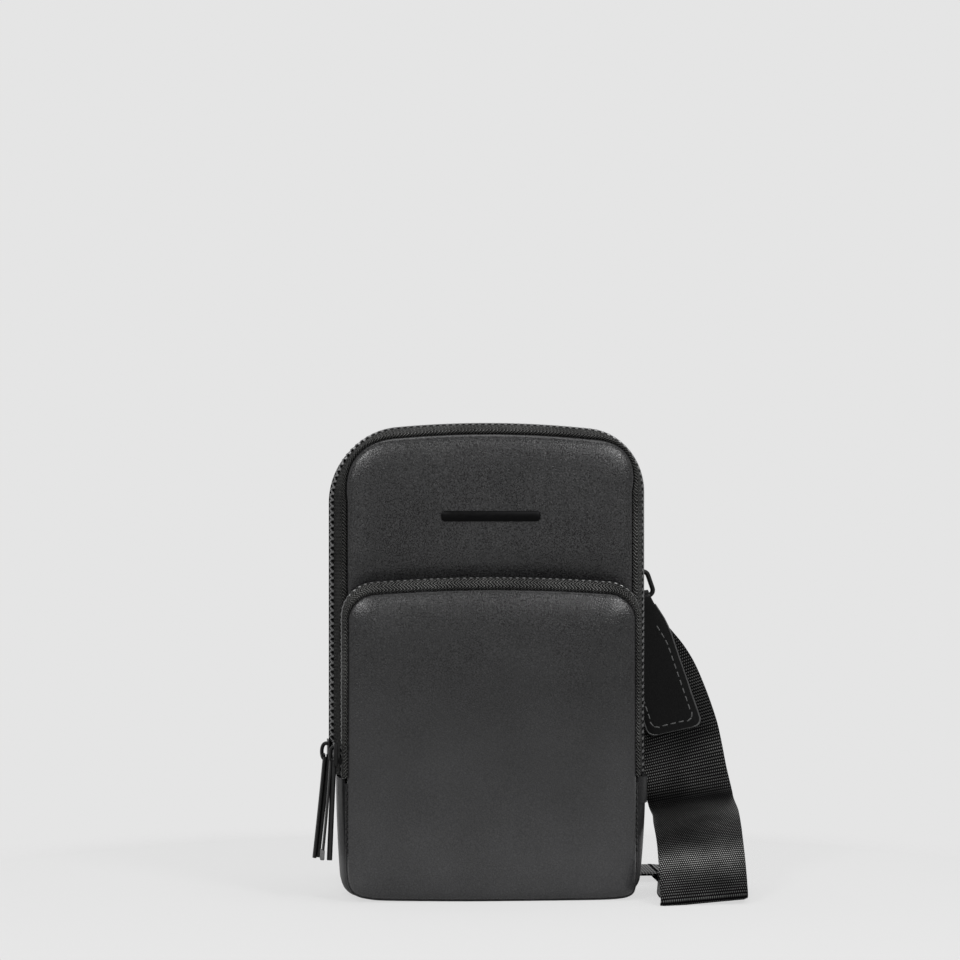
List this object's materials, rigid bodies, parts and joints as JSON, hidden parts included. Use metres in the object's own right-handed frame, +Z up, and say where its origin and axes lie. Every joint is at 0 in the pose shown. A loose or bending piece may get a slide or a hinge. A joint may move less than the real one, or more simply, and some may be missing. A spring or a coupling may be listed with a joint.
{
  "type": "phone pouch",
  "caption": "Upright soft leather phone pouch with a zip over the top, a zipped front pocket, slim zip pulls and a webbing strap on rings at the back",
  "frame": {"origin": "middle of the pouch's base, on the surface it stands on", "axes": "+X to the right as seen from the front, +Y from the front to the back, +Z up"},
  "size_m": [0.1756, 0.1128, 0.1861],
  "materials": {
    "leather": "fine-grained black leather, satin",
    "strap_leather": "smooth-grained black leather with a stitched edge",
    "zip_tape": "woven black zip tape",
    "zip_teeth": "dark coated teeth, satin",
    "dark_metal": "dark gunmetal, semi-gloss",
    "front_bar": "dark blank bar, matt",
    "foam": "soft padding felt",
    "lining": "woven lining, matt",
    "board": "stiffening board",
    "webbing": "ribbed black webbing",
    "tie": "soft hook-and-loop tie"
  },
  "bodies": {
    "rear_shell": {"back_panel": "leather", "back_foam": "foam", "lining_back": "lining", "slip_pocket": "lining", "base_gusset": "leather", "base_board": "board", "front_panel_lower": "leather", "pocket_panel_lower": "leather", "pocket_gusset": "leather", "main_zip_tape_rear": "zip_tape", "main_zip_chain_rear": "zip_teeth", "ring_loop_left": "strap_leather", "ring_loop_right": "strap_leather", "strap_drop": "webbing", "strap_ramp": "webbing", "strap_floor_run": "webbing", "strap_hank": "webbing", "strap_tie": "tie", "strap_riser": "webbing", "strap_return": "webbing"},
    "front_flap": {"front_panel_upper": "leather", "front_foam": "foam", "lining_front": "lining", "front_bar": "front_bar", "main_zip_tape_front": "zip_tape", "main_zip_chain_front": "zip_teeth", "pocket_zip_tape_rear": "zip_tape", "pocket_zip_chain_rear": "zip_teeth"},
    "pocket_flap": {"pocket_panel_upper": "leather", "pocket_foam": "foam", "pocket_lining": "lining", "pocket_zip_tape_front": "zip_tape", "pocket_zip_chain_front": "zip_teeth"},
    "main_slider": {"main_slider": "dark_metal"},
    "main_pull": {"main_pull": "dark_metal"},
    "pocket_slider": {"pocket_slider": "dark_metal"},
    "pocket_pull": {"pocket_pull": "dark_metal"},
    "strap_end_right": {"ring_right": "dark_metal", "strap_tab_right": "strap_leather"},
    "strap_end_left": {"ring_left": "dark_metal", "strap_tab_left": "strap_leather", "strap_square_ring": "dark_metal"},
    "strap_adjuster": {"strap_adjuster": "dark_metal", "adjuster_fold": "webbing"}
  },
  "joints": [
    {"name": "main_opening", "type": "hinge", "parent": "rear_shell", "child": "front_flap", "pos_m": [0, -0.023, 0.048], "axis": [1, 0, 0], "range_deg": [0, 20]},
    {"name": "pocket_opening", "type": "hinge", "parent": "front_flap", "child": "pocket_flap", "pos_m": [0, -0.023, 0.048], "axis": [1, 0, 0], "range_deg": [0, 20]},
    {"name": "main_zip_slide", "type": "slide", "parent": "rear_shell", "child": "main_slider", "axis": [0, 0, 1], "range_m": [0, 0.09]},
    {"name": "main_pull_swing", "type": "hinge", "parent": "main_slider", "child": "main_pull", "pos_m": [-0.065, 0.006, 0.0553], "axis": [0, 1, 0], "range_deg": [0, 150]},
    {"name": "pocket_zip_slide", "type": "slide", "parent": "front_flap", "child": "pocket_slider", "axis": [0, 0, 1], "range_m": [0, 0.044]},
    {"name": "pocket_pull_swing", "type": "hinge", "parent": "pocket_slider", "child": "pocket_pull", "pos_m": [-0.0617, -0.015, 0.0553], "axis": [0, 1, 0], "range_deg": [0, 150]},
    {"name": "ring_swing_right", "type": "hinge", "parent": "rear_shell", "child": "strap_end_right", "pos_m": [0.05523, 0.028, 0.12393], "axis": [0.9455, 0, 0.3256], "range_deg": [0, 40], "deforming": ["strap_drop"]},
    {"name": "ring_swing_left", "type": "hinge", "parent": "rear_shell", "child": "strap_end_left", "pos_m": [-0.04057, 0.028, 0.12393], "axis": [0.9455, 0, 0.3256], "range_deg": [0, 25], "deforming": ["strap_riser", "strap_return"]},
    {"name": "adjuster_slide", "type": "slide", "parent": "rear_shell", "child": "strap_adjuster", "axis": [0.3256, 0, -0.9455], "range_m": [-0.008, 0.008], "deforming": ["strap_return"]}
  ]
}
